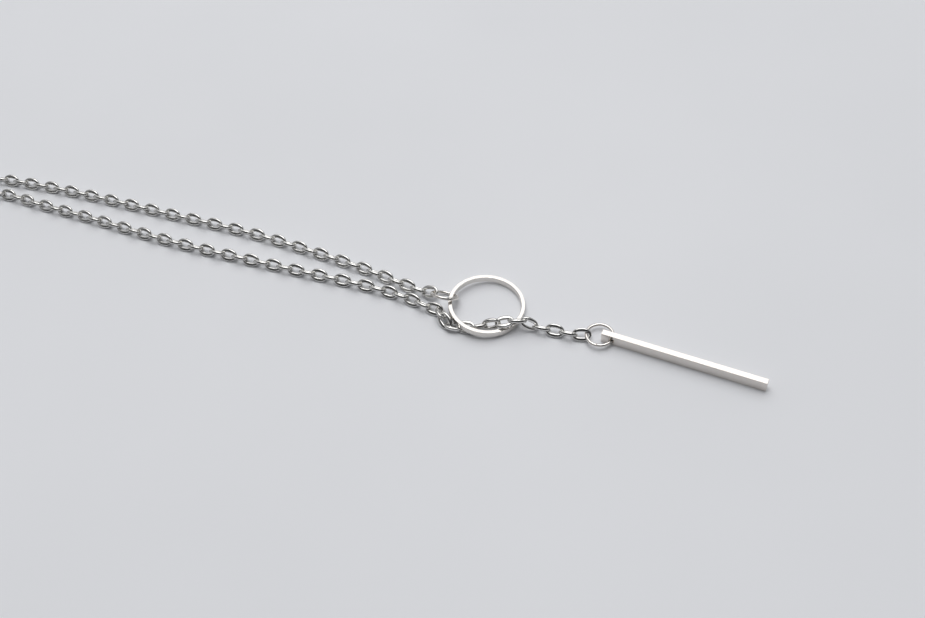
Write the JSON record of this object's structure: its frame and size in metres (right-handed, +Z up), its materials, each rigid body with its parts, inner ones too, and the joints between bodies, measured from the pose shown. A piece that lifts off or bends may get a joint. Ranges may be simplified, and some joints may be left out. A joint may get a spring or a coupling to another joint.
{
  "type": "lariat necklace",
  "caption": "Silver-tone lariat necklace: a fine cable chain with an open circle at one end and a slim bar at the other, the bar end drawn through the circle.",
  "frame": {"origin": "middle of the flat underside of the bar, on the surface the necklace lies on", "axes": "+Z up, +X along the laid-out necklace from the neck loop towards the bar, +Y across it"},
  "size_m": [0.2593, 0.0913, 0.0031],
  "materials": {
    "polished_silver": "polished",
    "satin_silver": "fine satin",
    "chain_silver": "polished"
  },
  "bodies": {
    "circle": {"open_circle": "polished_silver", "threaded_links": "chain_silver"},
    "circle_jump_ring": {"circle_jump_ring": "chain_silver"},
    "strand_a": {"strand_a_end_link": "chain_silver", "strand_a_links_1": "chain_silver", "strand_a_links_2": "chain_silver"},
    "nape": {"nape_links_1": "chain_silver", "nape_links_2": "chain_silver", "nape_links_3": "chain_silver", "nape_links_4": "chain_silver", "nape_links_5": "chain_silver", "nape_links_6": "chain_silver", "nape_links_7": "chain_silver"},
    "strand_b": {"strand_b_links_1": "chain_silver", "strand_b_links_2": "chain_silver", "strand_b_end_link": "chain_silver"},
    "drop_link_1": {"drop_link_1": "chain_silver"},
    "drop_link_2": {"drop_link_2": "chain_silver"},
    "drop_link_3": {"drop_link_3": "chain_silver"},
    "drop_link_4": {"drop_link_4": "chain_silver"},
    "drop_link_5": {"drop_link_5": "chain_silver"},
    "bar_jump_ring": {"bar_jump_ring": "chain_silver"},
    "bar": {"bar": "satin_silver"}
  },
  "joints": [
    {"name": "circle_jump_ring_twist", "type": "hinge", "parent": "circle", "child": "circle_jump_ring", "pos_m": [-0.03568, 0.0177, 0.00124], "axis": [-0.779, 0.6043, -0.1674], "range_deg": [0, 30]},
    {"name": "strand_a_sway", "type": "hinge", "parent": "circle", "child": "strand_a", "pos_m": [-0.03568, 0.0177, 0.00124], "axis": [0, 0, 1], "range_deg": [-6, 6]},
    {"name": "nape_turn", "type": "hinge", "parent": "strand_a", "child": "nape", "pos_m": [-0.11456, 0.05605, 0.00081], "axis": [0, 0, 1], "range_deg": [-6, 6]},
    {"name": "strand_b_sway", "type": "hinge", "parent": "circle", "child": "strand_b", "pos_m": [-0.03496, 0.01409, 0.00081], "axis": [0, 0, 1], "range_deg": [-6, 6]},
    {"name": "drop_link_1_hinge", "type": "hinge", "parent": "circle", "child": "drop_link_1", "pos_m": [-0.02215, 0.00948, 0.00186], "axis": [0.0323, 0.7092, -0.7042], "range_deg": [-30, 0]},
    {"name": "drop_link_2_hinge", "type": "hinge", "parent": "drop_link_1", "child": "drop_link_2", "pos_m": [-0.02057, 0.00898, 0.0007], "axis": [0.5592, 0.3143, 0.7672], "range_deg": [-60, 0]},
    {"name": "drop_link_3_hinge", "type": "hinge", "parent": "drop_link_2", "child": "drop_link_3", "pos_m": [-0.01863, 0.00819, 0.00084], "axis": [0.2583, 0.6582, -0.7071], "range_deg": [-60, 0]},
    {"name": "drop_link_4_hinge", "type": "hinge", "parent": "drop_link_3", "child": "drop_link_4", "pos_m": [-0.01669, 0.00744, 0.00085], "axis": [-0.2566, -0.6589, -0.7071], "range_deg": [-60, 0]},
    {"name": "drop_link_5_hinge", "type": "hinge", "parent": "drop_link_4", "child": "drop_link_5", "pos_m": [-0.01476, 0.00668, 0.00085], "axis": [0.2583, 0.6582, -0.7071], "range_deg": [-60, 0]},
    {"name": "bar_jump_ring_hinge", "type": "hinge", "parent": "drop_link_5", "child": "bar_jump_ring", "pos_m": [-0.01332, 0.00651, 0.00089], "axis": [-0.1564, -0.9877, 0], "range_deg": [0, 80]},
    {"name": "bar_hinge", "type": "hinge", "parent": "bar_jump_ring", "child": "bar", "pos_m": [-0.00953, 0.00522, 0.00095], "axis": [0.4802, 0.8771, 0], "range_deg": [-90, 0]}
  ],
  "couplings": [
    {"joint": "strand_b_sway", "follows": "strand_a_sway", "ratio": 1},
    {"joint": "nape_turn", "follows": "strand_a_sway", "ratio": -1}
  ]
}
